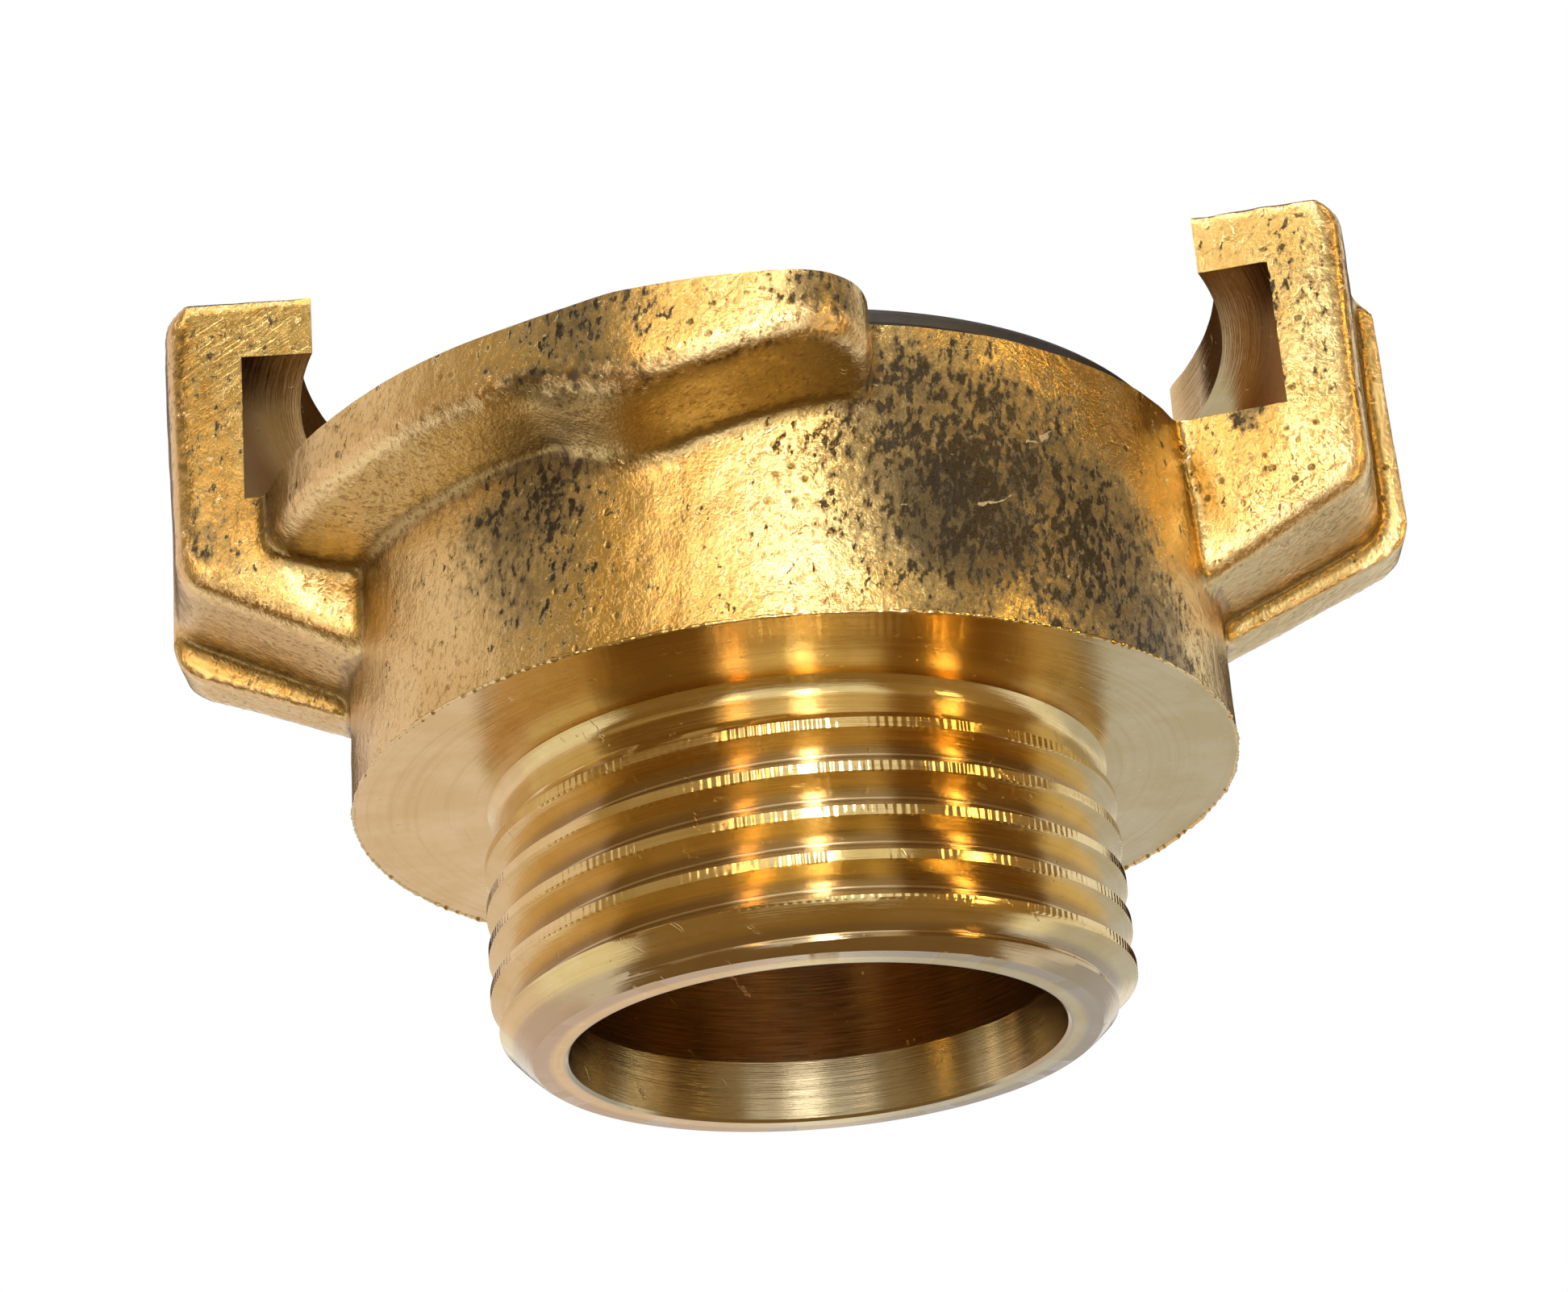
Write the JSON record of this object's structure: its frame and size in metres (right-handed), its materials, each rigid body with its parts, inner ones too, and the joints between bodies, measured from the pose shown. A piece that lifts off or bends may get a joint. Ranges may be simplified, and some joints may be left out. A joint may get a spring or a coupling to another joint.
{
  "type": "claw hose coupling",
  "caption": "Half of a twist-lock claw coupling for water hose: forged brass collar with hooked claws and ramped lugs, black face seal in its top, male pipe thread below.",
  "frame": {"origin": "on the thread's axis, in the plane of the thread's end face", "axes": "+Z along the thread's axis from its end face towards the claws; the claws lie on +X and -X; the forging's parting plane is y = 0"},
  "size_m": [0.0535, 0.0456, 0.0329],
  "materials": {
    "brass": "satin forging skin with turned faces, tarnished in patches",
    "seal": "matt, moulded"
  },
  "bodies": {
    "root": {"coupling_body": "brass", "face_seal": "seal"}
  },
  "joints": []
}
